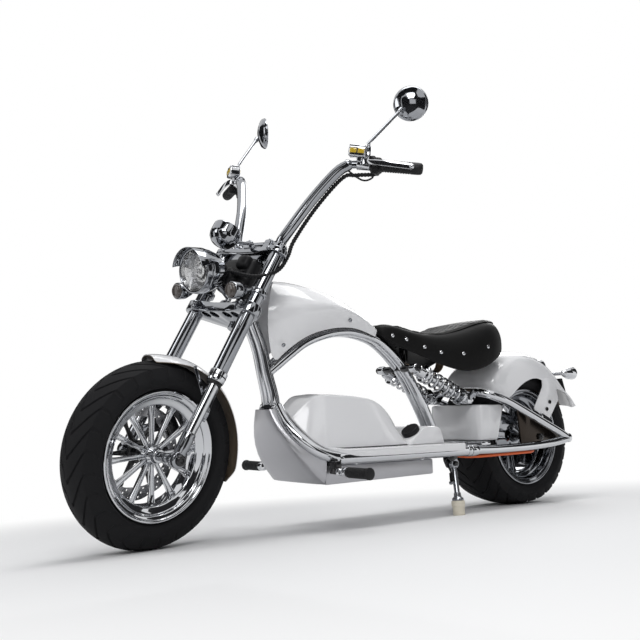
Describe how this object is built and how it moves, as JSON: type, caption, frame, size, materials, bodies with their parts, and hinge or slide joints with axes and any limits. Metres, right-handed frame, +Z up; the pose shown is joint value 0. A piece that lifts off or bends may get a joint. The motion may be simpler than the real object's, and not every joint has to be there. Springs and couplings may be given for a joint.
{
  "type": "electric chopper motorcycle",
  "caption": "Low electric chopper motorcycle with fat tyres, chrome tube frame, high bars, sprung saddle and centre battery box, leaning on its side stand.",
  "frame": {"origin": "on the floor, under the middle of the whole object's box", "axes": "+X forwards along the bike, +Y to the rider's left, +Z up from the floor"},
  "size_m": [1.9116, 0.7988, 1.3536],
  "materials": {
    "chrome": "polished",
    "steel": "satin",
    "aluminium": "satin",
    "white_metal": "gloss",
    "white_cover": "gloss",
    "tyre": "matte",
    "rubber": "matte",
    "black_plastic": "satin",
    "leather": "satin",
    "lens": "clear",
    "cream_rubber": "matte",
    "cable_orange": "satin"
  },
  "bodies": {
    "chassis": {"belly_pan": "aluminium", "centre_box": "white_cover", "charge_cap": "black_plastic", "deck_tray": "white_cover", "inner_fender": "white_cover", "main_frame": "chrome", "motor_cable": "cable_orange", "nose_guard": "aluminium", "rear_axle": "black_plastic", "rear_caliper": "steel", "rear_deck_cover": "white_cover", "rear_fender": "white_metal", "seat": "leather", "seat_bow": "steel", "shock_left": "chrome", "shock_right": "chrome", "swingarm": "chrome", "tail_unit": "chrome", "tank_shell": "white_cover"},
    "fork": {"lower_clamp": "chrome", "upper_clamp": "chrome", "fork_leg_left": "chrome", "fork_leg_right": "chrome", "front_axle": "steel", "front_fender": "white_metal", "front_caliper": "steel", "headlight": "chrome", "headlight_lens": "lens", "speedometer": "chrome", "front_signal_left": "chrome", "front_signal_right": "chrome", "handlebar": "chrome", "grip_left": "rubber", "grip_right": "rubber", "control_left": "chrome", "control_right": "chrome", "control_hose": "black_plastic", "mirror_left": "chrome", "mirror_right": "chrome"},
    "front_wheel": {"front_tyre": "tyre", "front_rim": "chrome", "front_disc": "steel"},
    "rear_wheel": {"rear_tyre": "tyre", "rear_rim": "chrome", "rear_disc": "steel"},
    "side_stand": {"side_stand": "chrome", "stand_foot": "cream_rubber"},
    "peg_left": {"peg_left": "rubber"},
    "peg_right": {"peg_right": "rubber"}
  },
  "joints": [
    {"name": "steering", "type": "hinge", "parent": "chassis", "child": "fork", "pos_m": [0.67066, -0.05325, 0.20671], "axis": [-0.488, 0.0609, 0.8707], "range_deg": [-40.7, 15.3]},
    {"name": "front_wheel_spin", "type": "hinge", "parent": "fork", "child": "front_wheel", "pos_m": [0.72175, -0.03809, 0.23428], "axis": [-0.1919, 0.9657, -0.1751], "continuous": true},
    {"name": "rear_wheel_spin", "type": "hinge", "parent": "chassis", "child": "rear_wheel", "pos_m": [-0.66396, -0.0512, 0.23695], "axis": [-0.0001, 0.9976, -0.0698], "continuous": true},
    {"name": "stand_fold", "type": "hinge", "parent": "chassis", "child": "side_stand", "pos_m": [-0.26402, 0.06352, 0.15696], "axis": [-0.0001, 0.9976, -0.0698], "range_deg": [0, 85]},
    {"name": "peg_left_fold", "type": "hinge", "parent": "chassis", "child": "peg_left", "pos_m": [0.24098, 0.12878, 0.15803], "axis": [1, 0, -0.0007], "range_deg": [0, 60]},
    {"name": "peg_right_fold", "type": "hinge", "parent": "chassis", "child": "peg_right", "pos_m": [0.241, -0.24032, 0.18384], "axis": [-1, 0, 0.0007], "range_deg": [0, 60]}
  ]
}
